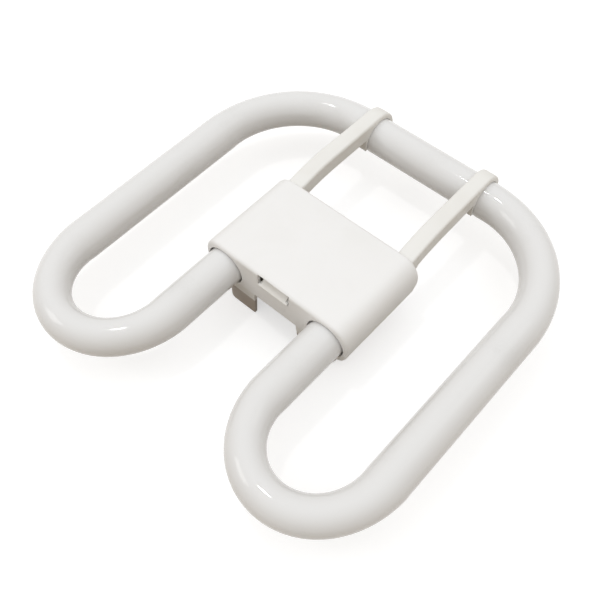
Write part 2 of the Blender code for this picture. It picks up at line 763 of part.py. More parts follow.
def skirt(tools):
    """Rounded rectangular wall under the tray, with its rim's outer edge eased."""
    outer = rounded_rectangle(SKIRT_HALF_WIDTH, SKIRT_HALF_DEPTH, SKIRT_CORNER)
    inside = (SKIRT_HALF_WIDTH - SKIRT_WALL, SKIRT_HALF_DEPTH - SKIRT_WALL)
    inner = rounded_rectangle(*inside, SKIRT_CORNER - SKIRT_WALL)
    wall = slab_along_z("skirt", [outer, inner], 0.0, FLOOR_TOP - GAP / 2, tools)
    soften(wall, RIM_BEVEL, lambda a, b: a.z < MERGE and b.z < MERGE, segments=1)
    return wall


def notch(name, facing, top, depth, tools):
    """Centre notch in a long side of the skirt, a little wider at the rim."""
    edge = SKIRT_HALF_DEPTH
    y = sorted((facing * (edge - depth), facing * (edge + COVER_WALL)))
    low = -RIM_BEVEL - GAP
    wide = NOTCH_HALF_WIDTH + NOTCH_FLARE
    outline = [(-wide, low), (wide, low), (NOTCH_HALF_WIDTH, top), (-NOTCH_HALF_WIDTH, top)]
    return slab_along_y(name, outline, y[0], y[1], tools)


def pin_places():
    """Plan positions of the contact pins, by number."""
    half_x = PIN_SPACING_X / 2
    half_y = PIN_SPACING_Y / 2
    return {1: (half_x, half_y), 2: (half_x, -half_y), 3: (-half_x, half_y), 4: (-half_x, -half_y)}


def housing_base(group, tools, finish):
    """One moulding: tray, lip, saddles, skirt, pin block, snap tongues, arms and clips."""
    base = slab_along_y("housing_base", base_section(0.0, SEAM - GAP), BASE_FRONT_Y, BASE_BACK_Y, group)
    soften(base, BASE_EDGE_BEVEL, on_base_rim)
    lip_half = INNER_HALF_WIDTH - GAP
    lip_low = SEAM - COVER_WALL
    lip = box(
        "lip",
        (-lip_half, INNER_FRONT_Y + GAP, lip_low),
        (lip_half, INNER_BACK_Y - GAP, LIP_TOP),
        tools,
    )
    combine(base, lip, "UNION")
    hollow = slab_along_y(
        "tray_hollow",
        base_section(BASE_WALL, SEAM - COVER_WALL / 2),
        BASE_FRONT_Y + BASE_WALL,
        BASE_BACK_Y - BASE_WALL,
        tools,
    )
    combine(base, hollow, "DIFFERENCE")
    lip_hollow = box(
        "lip_hollow",
        (-lip_half + LIP_WALL, INNER_FRONT_Y + GAP + LIP_WALL, lip_low - COVER_WALL / 2),
        (lip_half - LIP_WALL, INNER_BACK_Y - GAP - LIP_WALL, LIP_TOP + COVER_WALL),
        tools,
    )
    combine(base, lip_hollow, "DIFFERENCE")
    for side, label in ((1, "right"), (-1, "left")):
        x = sorted((side * LEG_X, side * (INNER_HALF_WIDTH - GAP / 2)))
        relief = box(
            f"lip_relief_{label}",
            (x[0], INNER_FRONT_Y, SEAM - GAP),
            (x[1], LEG_END_Y + COVER_WALL, LIP_TOP + COVER_WALL),
            tools,
        )
        combine(base, relief, "DIFFERENCE")

    pocket_half = NOTCH_HALF_WIDTH + NOTCH_FLARE + BASE_WALL
    pocket_roof = box(
        "pocket_roof",
        (-pocket_half, INNER_FRONT_Y + GAP + LIP_WALL / 2, FLOOR_TOP - 2 * GAP),
        (pocket_half, BASE_FRONT_Y + POCKET_DEPTH + BASE_WALL, BIB_BOTTOM + BASE_WALL),
        tools,
    )
    combine(base, pocket_roof, "UNION")
    combine(base, skirt(tools), "UNION")
    block = slab_along_z(
        "pin_block",
        [rounded_rectangle(BLOCK_HALF_WIDTH, BLOCK_HALF_DEPTH, SKIRT_WALL)],
        BLOCK_FACE,
        BASE_BOTTOM + BASE_WALL / 2,
        tools,
    )
    combine(base, block, "UNION")
    key = box(
        "key_post",
        (-KEY_HALF_WIDTH, -KEY_HALF_DEPTH, BLOCK_FACE - KEY_HEIGHT),
        (KEY_HALF_WIDTH, KEY_HALF_DEPTH, BLOCK_FACE + BLOCK_HEIGHT / 2),
        tools,
    )
    combine(base, key, "UNION")

    for side, label in ((1, "right"), (-1, "left")):
        for y, place_name in ((FRONT_RIB_Y, "front"), (REAR_RIB_Y, "rear")):
            low = BASE_BOTTOM + BASE_WALL / 2
            rib = saddle_rib(f"base_rib_{place_name}_{label}", side, y, low, AXIS_HEIGHT - GAP, tools)
            combine(base, rib, "UNION")
        combine(base, arm_root(side, label, tools), "UNION")
        combine(base, arm(side, label, tools), "UNION")
        combine(base, side_snap(side, label, tools), "UNION")
    combine(base, snap_tongue("tongue_front", -1, tools), "UNION")
    combine(base, snap_tongue("tongue_back", 1, tools), "UNION")

    for side, label in ((1, "right"), (-1, "left")):
        combine(base, leg_hole(side, tools, f"base_leg_hole_{label}"), "DIFFERENCE")
        combine(base, front_hole(side, tools, f"base_front_hole_{label}", GAP), "DIFFERENCE")
    bib_slot = box(
        "bib_slot",
        (-BIB_HALF_WIDTH - GAP, HOUSING_FRONT_Y - COVER_WALL, BIB_BOTTOM - GAP),
        (BIB_HALF_WIDTH + GAP, INNER_FRONT_Y + GAP, SEAM + COVER_WALL),
        tools,
    )
    combine(base, bib_slot, "DIFFERENCE")
    combine(base, notch("notch_front", -1, BIB_BOTTOM, POCKET_DEPTH, tools), "DIFFERENCE")
    combine(base, notch("notch_back", 1, BASE_BOTTOM + GAP, SKIRT_WALL + GAP, tools), "DIFFERENCE")
    for number, (x, y) in pin_places().items():
        ends = (BLOCK_FACE - BASE_WALL, FLOOR_TOP + BASE_WALL)
        hole = upright_rod(f"pin_hole_{number}", PIN_RADIUS + GAP, (x, y), *ends, tools)
        combine(base, hole, "DIFFERENCE")
    base.data.materials.append(finish)
    smooth(base)
    return base


def upright_rod(name, radius, centre, low, high, group, sides=16):
    """A round bar along +Z."""
    bm = bmesh.new()
    bmesh.ops.create_cone(
        bm,
        cap_ends=True,
        segments=sides,
        radius1=radius,
        radius2=radius,
        depth=high - low,
        matrix=Matrix.Translation((*centre, (low + high) / 2)),
    )
    return from_bmesh(name, bm, group)


def contact_pin(number, centre, group, finish):
    """Hollow turned pin: closed round tip below, flange on the tray's floor, open bore for its wire."""
    tip = BLOCK_FACE - PIN_LENGTH
    seat = FLOOR_TOP + GAP
    nose = [
        (PIN_RADIUS * math.sin(a), tip + PIN_RADIUS * (1 - math.cos(a)))
        for a in (0.0, math.radians(35), math.radians(65), math.pi / 2)
    ]
    inside = [(0.0, tip + PIN_RADIUS), (PIN_BORE_RADIUS, tip + PIN_RADIUS), (PIN_BORE_RADIUS, PIN_TOP)]
    outside = [
        (PIN_RADIUS, PIN_TOP),
        (PIN_RADIUS, seat + PIN_FLANGE_HEIGHT),
        (PIN_FLANGE_RADIUS, seat + PIN_FLANGE_HEIGHT),
        (PIN_FLANGE_RADIUS, seat),
        (PIN_RADIUS, seat),
    ]
    profile = inside + outside + list(reversed(nose))
    mesh = bpy.data.meshes.new(f"contact_pin_{number}")
    mesh.from_pydata([(r, 0.0, z) for r, z in profile], [(i, i + 1) for i in range(len(profile) - 1)], [])
    pin = place(f"contact_pin_{number}", mesh, group)
    turn = pin.modifiers.new("turn", "SCREW")
    turn.steps = 14
    turn.render_steps = 14
    turn.use_merge_vertices = True
    turn.merge_threshold = MERGE
    turn.use_smooth_shade = True
    pin.location = (*centre, 0.0)
    pin.data.materials.append(finish)
    return pin


def catmull(points, steps):
    """A smooth curve through chosen points."""
    ends = [points[0] * 2 - points[1]] + points + [points[-1] * 2 - points[-2]]
    curve = []
    for i in range(1, len(ends) - 2):
        a, b, c, d = ends[i - 1:i + 3]
        for step in range(steps):
            t = step / steps
            curve.append(
                b
                + 0.5 * (c - a) * t
                + 0.5 * (2 * a - 5 * b + 4 * c - d) * t * t
                + 0.5 * (3 * b - a - 3 * c + d) * t ** 3
            )
    return curve + [points[-1]]


def wire_route(side, number, outer):
    """Centre line of a lead wire, from the tube's shoulder into its pin."""
    x, y = pin_places()[number]
    leave_x = side * (LEG_X + (WIRE_SPREAD if outer else -WIRE_SPREAD))
    shoulder = math.asin((WIRE_SPREAD - EXHAUST_RADIUS) / (LEG_RADIUS - EXHAUST_RADIUS))
    leave_y = LEG_END_Y - SHOULDER_LENGTH * (1 - math.cos(shoulder)) + 2 * GAP
    swing = 1 if outer else -1
    turn_y = leave_y + (OUTER_TURN_Y if outer else INNER_TURN_Y)
    middle_y = (leave_y + y) / 2 + (OUTER_MIDDLE_Y if outer else INNER_MIDDLE_Y)
    middle_z = AXIS_HEIGHT - WIRE_MIDDLE_DROP + swing * WIRE_MIDDLE_SWING
    points = [
        (leave_x, leave_y, AXIS_HEIGHT),
        (leave_x, leave_y + WIRE_LEAD_OUT, AXIS_HEIGHT),
        (leave_x - side * WIRE_TURN_X, turn_y, AXIS_HEIGHT + swing * WIRE_SWING),
        ((leave_x + x) / 2, middle_y, middle_z),
        (x + side * WIRE_APPROACH, y + (WIRE_APPROACH if outer else 0.0), PIN_TOP + WIRE_DESCENT),
        (x, y, PIN_TOP + WIRE_APPROACH),
        (x, y, PIN_TOP - WIRE_IN_PIN),
    ]
    return catmull([Vector(p) for p in points], 3)


def round_curve(name, points, radius, capped, group):
    """A bevelled poly curve as a welded mesh."""
    curve = bpy.data.curves.new(name, "CURVE")
    curve.dimensions = "3D"
    curve.bevel_depth = radius
    curve.bevel_resolution = 2
    curve.use_fill_caps = capped
    spline = curve.splines.new("POLY")
    spline.points.add(len(points) - 1)
    for point, place_at in zip(spline.points, points):
        point.co = (*place_at, 1.0)
    return baked(place(name, curve, group), group)


def lead_wire(name, route, group, finish):
    """One bare lead-in wire."""
    wire = round_curve(name, route, WIRE_RADIUS, True, group)
    wire.data.materials.append(finish)
    smooth(wire)
    return wire


def wire_sleeve(name, route, group, finish):
    """Insulating sleeve on a lead wire, open at both ends."""
    covered = [p for p in route if p.z > PIN_TOP + GAP and (p - route[0]).length > SLEEVE_SETBACK]
    sleeve = round_curve(name, covered, SLEEVE_BORE_RADIUS, False, group)
    wall = sleeve.modifiers.new("wall", "SOLIDIFY")
    wall.thickness = SLEEVE_WALL
    wall.offset = 1.0
    sleeve.data.materials.append(finish)
    smooth(sleeve)
    return sleeve


def cement_pad(side, label, group, finish):
    """Cured cement between a tube leg and the underside of the cover, within the two ribs."""
    top = COVER_TOP - COVER_WALL - GAP
    bore = LEG_RADIUS + GAP
    reach_in = math.acos(-PAD_INNER_REACH / bore)
    reach_out = math.acos(PAD_OUTER_REACH / bore)
    saddle = arc((0.0, AXIS_HEIGHT), (bore, bore), reach_out, reach_in, 12)
    outline = saddle + [(-PAD_INNER_REACH, top), (PAD_OUTER_REACH - PAD_SKIN, top)]
    outline.append((PAD_OUTER_REACH, top - PAD_SKIN))
    outline = [(side * (LEG_X + u), v) for u, v in outline]
    middle = (FRONT_RIB_Y + REAR_RIB_Y) / 2
    ends = (middle - PAD_LENGTH / 2, middle + PAD_LENGTH / 2)
    pad = slab_along_y(f"cement_pad_{label}", outline, *ends, group)
    pad.data.materials.append(finish)
    return pad


def build():
    """Make every piece of the lamp."""
    clear_scene()
    parts = collection(COLLECTION)
    tools = collection("cutters_and_guides")
    glass = material("phosphor_coated_glass", (0.84, 0.83, 0.81), 0.12)
    cover_plastic = material("cover_plastic", (0.88, 0.87, 0.85), 0.42)
    base_plastic = material("base_plastic", (0.86, 0.86, 0.81), 0.42)
    brass = material("plated_brass", (0.78, 0.70, 0.50), 0.28, 1.0)
    copper = material("tinned_wire", (0.70, 0.68, 0.64), 0.35, 1.0)
    fibre = material("glass_fibre_sleeve", (0.85, 0.84, 0.80), 0.80)
    cement = material("white_cement", (0.87, 0.86, 0.83), 0.75)

    glass_tube(parts, glass)
    housing_cover(parts, tools, cover_plastic)
    housing_base(parts, tools, base_plastic)
    for number, centre in pin_places().items():
        contact_pin(number, centre, parts, brass)
    for side, label, numbers in ((1, "right", (1, 2)), (-1, "left", (3, 4))):
        for number, outer in zip(numbers, (True, False)):
            route = wire_route(side, number, outer)
            lead_wire(f"lead_wire_{number}", route, parts, copper)
            wire_sleeve(f"wire_sleeve_{number}", route, parts, fibre)
        cement_pad(side, label, parts, cement)


build()
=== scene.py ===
"""Studio view of a square compact fluorescent lamp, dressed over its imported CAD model.

Everything is in metres in the CAD model's frame: the cap's skirt stands on the plane z = 0,
+Y runs from the tube's two legs to its closed back run, and +Z points up to the cover's flat
top. The tube is drawn as a finer skin of the same shape, the cover and the base are copies of
their solids with eased edges, and the pieces inside the cap keep their CAD meshes.
"""

import logging
import math
from dataclasses import dataclass
from enum import Enum
from typing import Mapping, Sequence

import bmesh
import bpy
import numpy as np
from mathutils import Matrix, Vector


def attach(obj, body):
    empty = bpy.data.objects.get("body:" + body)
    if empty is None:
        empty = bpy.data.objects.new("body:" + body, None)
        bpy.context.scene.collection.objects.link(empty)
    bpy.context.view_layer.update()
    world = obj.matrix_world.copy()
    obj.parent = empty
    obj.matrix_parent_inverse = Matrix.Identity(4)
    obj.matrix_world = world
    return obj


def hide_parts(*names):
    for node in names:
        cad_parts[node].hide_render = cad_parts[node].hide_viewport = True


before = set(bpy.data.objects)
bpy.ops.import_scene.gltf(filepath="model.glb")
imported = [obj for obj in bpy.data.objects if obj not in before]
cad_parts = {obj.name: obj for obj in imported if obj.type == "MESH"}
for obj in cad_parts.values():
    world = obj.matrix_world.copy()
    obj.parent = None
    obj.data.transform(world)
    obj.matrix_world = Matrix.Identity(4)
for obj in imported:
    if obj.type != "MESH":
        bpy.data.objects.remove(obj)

LOG = logging.getLogger("lamp")

Pair = tuple[float, float]
Place = tuple[float, float, float]
Colour = tuple[float, float, float]

# A run of the tube: its centre line's points in plan, of shape (count, 2), and as many radii.
Run = tuple[np.ndarray, np.ndarray]


# Meshes


def mesh_object(name: str, points: np.ndarray, faces: Sequence[Sequence[int]]) -> bpy.types.Object:
    """Make a mesh object at the origin.

    Args:
        name: The object's name.
        points: Corners, as an array of shape (count, 3).
        faces: Corner numbers of each face, outward by the right-hand rule.

    Returns:
        The object, linked to the scene.
    """
    mesh = bpy.data.meshes.new(name)
    mesh.from_pydata(points.tolist(), [], [list(face) for face in faces])
    mesh.update()
    thing = bpy.data.objects.new(name, mesh)
    bpy.context.scene.collection.objects.link(thing)
    return thing


def ring_faces(rings: int, around: int) -> np.ndarray:
    """Quads between successive closed rings of corners.

    Args:
        rings: How many rings there are.
        around: How many corners each ring has.

    Returns:
        An array of shape (quads, 4).
    """
    first = np.arange(rings - 1)[:, None] * around
    here = np.arange(around)[None, :]
    after = (here + 1) % around
    corners = [first + here, first + after, first + around + after, first + around + here]
    return np.stack(corners, axis=-1).reshape(-1, 4)


def swept(name: str, sections: np.ndarray) -> bpy.types.Object:
    """Skin a row of closed sections and cap both ends with a flat face.

    Args:
        name: The object's name.
        sections: Corners, as an array of shape (sections, corners in each, 3).

    Returns:
        The closed skin.
    """
    rings, around = sections.shape[:2]
    faces = ring_faces(rings, around).tolist()
    faces.append(list(range(around))[::-1])
    faces.append(list(range((rings - 1) * around, rings * around)))
    thing = mesh_object(name, sections.reshape(-1, 3), faces)
    outward(thing)
    return thing


def outward(thing: bpy.types.Object) -> None:
    """Turn the faces of a closed mesh outwards.

    Args:
        thing: The object with the mesh.
    """
    bm = bmesh.new()
    bm.from_mesh(thing.data)
    bmesh.ops.recalc_face_normals(bm, faces=bm.faces[:])
    bm.to_mesh(thing.data)
    bm.free()


def merged_copy(node: str, name: str, weld: float = 1e-5, flat: float = 0.3) -> bpy.types.Object:
    """Copy a CAD node's mesh, weld its loose triangles and join the ones that lie in one plane.

    Args:
        node: The CAD node's name.
        name: The new object's name.
        weld: Corners closer than this become one.
        flat: Faces that meet at less than this angle, in degrees, count as one plane.

    Returns:
        The copy, linked to the scene.
    """
    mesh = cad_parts[node].data.copy()
    mesh.name = name
    bm = bmesh.new()
    bm.from_mesh(mesh)
    bmesh.ops.remove_doubles(bm, verts=bm.verts[:], dist=weld)
    limit = math.radians(flat)
    bmesh.ops.dissolve_limit(bm, angle_limit=limit, verts=bm.verts[:], edges=bm.edges[:])
    for face in bm.faces:
        face.smooth = True
    bm.to_mesh(mesh)
    bm.free()
    mesh.materials.clear()
    thing = bpy.data.objects.new(name, mesh)
    bpy.context.scene.collection.objects.link(thing)
    return thing


def ease_edges(thing: bpy.types.Object, width: float, steps: int, angle: float) -> None:
    """Round the sharp edges of a piece a little, with a Bevel modifier.

    Args:
        thing: The piece.
        width: Width of the rounding, in metres.
        steps: Faces across it.
        angle: Edges sharper than this, in degrees, are rounded.
    """
    bevel = thing.modifiers.new("eased edges", "BEVEL")
    bevel.width = width
    bevel.segments = steps
    bevel.limit_method = "ANGLE"
    bevel.angle_limit = math.radians(angle)
    bevel.harden_normals = True
    bevel.use_clamp_overlap = True


def shade(thing: bpy.types.Object, angle: float) -> None:
    """Shade a piece smooth, with edges sharper than the angle, in degrees, kept sharp."""
    thing.data.shade_smooth()
    thing.data.set_sharp_from_angle(angle=math.radians(angle))


def arc(centre: Pair, radii: Pair, turns: np.ndarray) -> np.ndarray:
    """Points on an ellipse: the centre plus each radius times the turn's cosine or sine.

    Args:
        centre: The ellipse's middle.
        radii: Its half widths along x and y.
        turns: Angles round it, from +x towards +y.

    Returns:
        Points of shape (turns, 2).
    """
    x = centre[0] + radii[0] * np.cos(turns)
    y = centre[1] + radii[1] * np.sin(turns)
    return np.stack([x, y], axis=-1)


def straight(start: Sequence[float], end: Sequence[float], steps: int) -> np.ndarray:
    """Points strictly between two ends, evenly spread: start times 1 - t plus end times t."""
    t = np.linspace(0.0, 1.0, steps + 1)[1:-1, None]
    return np.array(start) * (1 - t) + np.array(end) * t


# Shader building


@dataclass(frozen=True)
class Blotches:
    """A smooth noise: the width of its blotches in metres, its detail, and how warped it is."""

    size: float
    octaves: float = 2.0
    roughness: float = 0.5
    warp: float = 0.0


class Signal:
    """A number that varies over a surface; arithmetic on it adds Math nodes."""

    def __init__(self, graph: "Graph", socket: bpy.types.NodeSocket) -> None:
        """Wrap an output socket of one of the graph's nodes."""
        self.graph = graph
        self.socket = socket

    def _with(self, operation: str, *values: object) -> "Signal":
        """The result of a Math node on the given values, in order."""
        settings = {"operation": operation}
        node = self.graph.add("ShaderNodeMath", settings, dict(enumerate(values)))
        return Signal(self.graph, node.outputs[0])

    def __add__(self, other: object) -> "Signal":
        """self + other."""
        return self._with("ADD", self, other)

    __radd__ = __add__

    def __mul__(self, other: object) -> "Signal":
        """self * other."""
        return self._with("MULTIPLY", self, other)

    __rmul__ = __mul__

    def either(self, other: object) -> "Signal":
        """The larger of self and other, which for two masks is where either holds."""
        return self._with("MAXIMUM", self, other)

    def ramp(self, low: float, high: float) -> "Signal":
        """A smooth step.

        Args:
            low: Below this it is 0.
            high: Above this it is 1.

        Returns:
            The stepped signal.
        """
        node = self.graph.add(
            "ShaderNodeMapRange",
            {"interpolation_type": "SMOOTHSTEP"},
            {"Value": self, "From Min": low, "From Max": high, "To Min": 0.0, "To Max": 1.0},
        )
        return Signal(self.graph, node.outputs["Result"])


class Graph:
    """A node tree and short ways to add to it."""

    def __init__(self, tree: bpy.types.NodeTree) -> None:
        """Work on this tree."""
        self.tree = tree

    def add(
        self,
        kind: str,
        settings: Mapping[str, object] | None = None,
        sockets: Mapping[str | int, object] | None = None,
    ) -> bpy.types.Node:
        """Add a node.

        Args:
            kind: The node's type.
            settings: Values of its own properties, set first.
            sockets: Values or links of its inputs, by name or number.

        Returns:
            The node.
        """
        node = self.tree.nodes.new(kind)
        for key, value in (settings or {}).items():
            setattr(node, key, value)
        for key, value in (sockets or {}).items():
            self.set(node.inputs[key], value)
        return node

    def set(self, socket: bpy.types.NodeSocket, value: object) -> None:
        """Give an input socket a value, or link it.

        Args:
            socket: The input.
            value: A signal or another node's output to link, or else the value itself.
        """
        if isinstance(value, Signal):
            self.tree.links.new(value.socket, socket)
        elif isinstance(value, bpy.types.NodeSocket):
            self.tree.links.new(value, socket)
        elif isinstance(value, tuple) and socket.type == "RGBA":
            socket.default_value = (*value, 1.0)
        else:
            socket.default_value = value

    def seen_as_background(self) -> Signal:
        """A mask of the rays that show the background.

        Returns:
            1 for the camera's rays and for those that gloss or glass sends on, 0 for others.
        """
        rays = self.add("ShaderNodeLightPath").outputs
        kinds = ("Camera", "Glossy", "Transmission")
        camera, gloss, glass = (Signal(self, rays[f"Is {kind} Ray"]) for kind in kinds)
        return camera.either(gloss).either(glass)

    def place(self) -> bpy.types.NodeSocket:
        """The point on the object, in metres."""
        return self.add("ShaderNodeTexCoord").outputs["Object"]

    def axis(self, name: str) -> Signal:
        """One coordinate of the point on the object, in metres: X, Y or Z."""
        split = self.add("ShaderNodeSeparateXYZ", None, {0: self.place()})
        return Signal(self, split.outputs[name])

    def noise(self, blotches: Blotches) -> Signal:
        """Smooth noise around 0.5.

        Args:
            blotches: How wide, fine and warped it is.

        Returns:
            The signal.
        """
        node = self.add(
            "ShaderNodeTexNoise",
            None,
            {
                "Vector": self.place(),
                "Scale": 1.0 / blotches.size,
                "Detail": blotches.octaves,
                "Roughness": blotches.roughness,
                "Distortion": blotches.warp,
            },
        )
        return Signal(self, node.outputs["Fac"])

    def cells(self, size: float) -> Signal:
        """Distance to the nearest of scattered points about size apart, as a share of size."""
        sockets = {"Vector": self.place(), "Scale": 1.0 / size}
        return Signal(self, self.add("ShaderNodeTexVoronoi", None, sockets).outputs["Distance"])

    def mix(self, factor: object, first: object, second: object) -> bpy.types.NodeSocket:
        """Blend two colours; a factor of 0 gives the first."""
        node = self.add("ShaderNodeMix", {"data_type": "RGBA"}, {0: factor, 6: first, 7: second})
        return node.outputs[2]

    def bump(self, height: Signal, distance: float, strength: float) -> bpy.types.NodeSocket:
        """A normal from a height signal.

        Args:
            height: The signal; 1 stands for the whole distance.
            distance: The height's range, in metres.
            strength: Share of it that shows.

        Returns:
            The normal's socket.
        """
        sockets = {"Strength": strength, "Distance": distance, "Height": height}
        return self.add("ShaderNodeBump", None, sockets).outputs["Normal"]


class Shader(Graph):
    """A material's node tree, with its Principled surface."""

    def __init__(self, name: str) -> None:
        """Start a material with this name."""
        self.material = bpy.data.materials.new(name)
        self.material.use_nodes = True
        super().__init__(self.material.node_tree)
        self.surface = self.tree.nodes["Principled BSDF"]

    def principled(self, **values: object) -> None:
        """Set or link inputs of the surface, named with underscores for spaces."""
        for key, value in values.items():
            name = key.replace("_", " ").title().replace("Ior", "IOR")
            self.set(self.surface.inputs[name], value)


# Finishes


@dataclass(frozen=True)
class CoatedGlass:
    """Clear glass tube with a white powder coating inside: a soft white under a hard gloss.

    The powder lies a little thinner in clouds, and the drawn glass waves slightly.
    """

    name: str = "coated_glass_finish"
    powder: Colour = (0.772, 0.767, 0.76)
    thin_powder: Colour = (0.732, 0.727, 0.718)
    cloud: Blotches = Blotches(0.030, 3.0, 0.55)
    grain: Blotches = Blotches(0.0012, 2.0, 0.6)
    grain_share: float = 0.2
    thin_between: Pair = (0.52, 0.74)
    powder_roughness: float = 0.55
    grain_roughness: float = 0.20
    powder_sheen: float = 0.2
    gloss_roughness: float = 0.05
    glass_ior: float = 1.45
    waves: Blotches = Blotches(0.018, 1.0)
    wave_height: float = 0.0002
    wave_strength: float = 0.25

    def build(self) -> bpy.types.Material:
        """Build the glass.

        Returns:
            Its material.
        """
        glass = Shader(self.name)
        cloud = glass.noise(self.cloud)
        grain = glass.noise(self.grain)
        cover = cloud * (1.0 - self.grain_share) + grain * self.grain_share
        thin = cover.ramp(*self.thin_between)
        glass.principled(
            base_color=glass.mix(thin, self.powder, self.thin_powder),
            roughness=self.powder_roughness + self.grain_roughness * grain,
            specular_ior_level=self.powder_sheen,
            coat_weight=1.0,
            coat_roughness=self.gloss_roughness,
            coat_ior=self.glass_ior,
            normal=glass.bump(glass.noise(self.waves), self.wave_height, self.wave_strength),
        )
        return glass.material


@dataclass(frozen=True)
class MouldedPlastic:
    """Glass-filled white plastic with a fine spark-eroded grain and a satin sheen.

    Where a colour for painted shade is given, the plastic is painted that darker colour below a
    level, standing for the shade under the cover, and the level wanders with the flow marks.
    """

    name: str
    colour: Colour
    shade: Colour
    painted_shade_colour: Colour | None = None
    painted_shade_below: float = 0.0131
    painted_shade_fade: float = 0.0016
    painted_shade_wander: float = 0.0030
    flow: Blotches = Blotches(0.022, 3.0, 0.5, 0.6)
    speck: Blotches = Blotches(0.0009, 2.0, 0.65)
    speck_share: float = 0.15
    shade_between: Pair = (0.40, 0.68)
    roughness: float = 0.38
    flow_roughness: float = 0.10
    speck_roughness: float = 0.05
    sheen: float = 0.3
    grain: Blotches = Blotches(0.00032, 2.0, 0.7)
    grain_height: float = 0.00003
    grain_strength: float = 0.6

    def build(self) -> bpy.types.Material:
        """Build the plastic.

        Returns:
            Its material.
        """
        plastic = Shader(self.name)
        flow = plastic.noise(self.flow)
        speck = plastic.noise(self.speck)
        tone = flow * (1.0 - self.speck_share) + speck * self.speck_share
        colour = plastic.mix(tone.ramp(*self.shade_between), self.colour, self.shade)
        if self.painted_shade_colour:
            # Painted shade: below a height that wanders with the flow marks, the plastic takes the
            # darker colour, for the shade under the cover.
            level = plastic.axis("Z") + self.painted_shade_wander * flow
            unshaded_share = level.ramp(self.painted_shade_below - self.painted_shade_fade, self.painted_shade_below)
            colour = plastic.mix(unshaded_share, self.painted_shade_colour, colour)
        grain = plastic.noise(self.grain)
        plastic.principled(
            base_color=colour,
            roughness=self.roughness + self.flow_roughness * flow + self.speck_roughness * speck,
            specular_ior_level=self.sheen,
            normal=plastic.bump(grain, self.grain_height, self.grain_strength),
        )
        return plastic.material


@dataclass(frozen=True)
class PlatedMetal:
    """Bright plated metal, faintly tarnished, with fine marks."""

    name: str
    colour: Colour
    dull: Colour
    roughness: float = 0.22
    tarnish: Blotches = Blotches(0.0018, 3.0, 0.6)
    dull_between: Pair = (0.45, 0.70)
    tarnish_roughness: float = 0.16
    marks: Blotches = Blotches(0.00025, 2.0, 0.6)
    mark_height: float = 0.00001
    mark_strength: float = 0.4

    def build(self) -> bpy.types.Material:
        """Build the metal.

        Returns:
            Its material.
        """
        metal = Shader(self.name)
        tarnish = metal.noise(self.tarnish)
        metal.principled(
            base_color=metal.mix(tarnish.ramp(*self.dull_between), self.colour, self.dull),
            metallic=1.0,
            roughness=self.roughness + self.tarnish_roughness * tarnish,
            normal=metal.bump(metal.noise(self.marks), self.mark_height, self.mark_strength),
        )
        return metal.material


@dataclass(frozen=True)
class WovenSleeve:
    """Glass-fibre braid: two sets of strands, 1.4 mm apart, that cross.

    The wave texture puts 2.8 strands in each length of its pattern.
    """

    name: str = "woven_sleeve_finish"
    strand: Colour = (0.80, 0.79, 0.74)
    gap: Colour = (0.52, 0.50, 0.45)
    pattern: float = 0.0039
    waver: float = 0.3
    strand_between: Pair = (0.05, 0.5)
    roughness: float = 0.85
    strand_height: float = 0.00008
    strand_strength: float = 0.8

    def strands(self, braid: Shader, turn: float) -> Signal:
        """One set of strands.

        Args:
            braid: The shader that they are added to.
            turn: How far the set is turned about the vertical.

        Returns:
            1 along the middle of a strand, 0 between two.
        """
        sockets = {0: braid.place(), "Rotation": (0.0, 0.0, turn)}
        turned = braid.add("ShaderNodeMapping", None, sockets).outputs[0]
        wave = braid.add(
            "ShaderNodeTexWave",
            {"wave_type": "BANDS", "bands_direction": "DIAGONAL"},
            {"Vector": turned, "Scale": 1.0 / self.pattern, "Distortion": self.waver},
        )
        return Signal(braid, wave.outputs["Fac"])

    def build(self) -> bpy.types.Material:
        """Build the braid.

        Returns:
            Its material.
        """
        braid = Shader(self.name)
        crossed = self.strands(braid, 0.0) * self.strands(braid, math.pi / 2)
        shown = crossed.ramp(*self.strand_between)
        braid.principled(
            base_color=braid.mix(shown, self.gap, self.strand),
            roughness=self.roughness,
            normal=braid.bump(crossed, self.strand_height, self.strand_strength),
        )
        return braid.material


@dataclass(frozen=True)
class CuredCement:
    """White filled cement with pores and a matt skin."""

    name: str = "cured_cement_finish"
    colour: Colour = (0.82, 0.80, 0.75)
    pore: Colour = (0.62, 0.60, 0.55)
    pore_spacing: float = 0.0012
    pore_between: Pair = (0.08, 0.30)
    pore_share: float = 0.3
    lumps: Blotches = Blotches(0.003, 4.0, 0.6)
    roughness: float = 0.75
    lump_roughness: float = 0.15
    relief_height: float = 0.0003
    relief_strength: float = 0.8

    def build(self) -> bpy.types.Material:
        """Build the cement.

        Returns:
            Its material.
        """
        cement = Shader(self.name)
        solid = cement.cells(self.pore_spacing).ramp(*self.pore_between)
        lumps = cement.noise(self.lumps)
        relief = lumps * (1.0 - self.pore_share) + solid * self.pore_share
        cement.principled(
            base_color=cement.mix(solid, self.pore, self.colour),
            roughness=self.roughness + self.lump_roughness * lumps,
            normal=cement.bump(relief, self.relief_height, self.relief_strength),
        )
        return cement.material


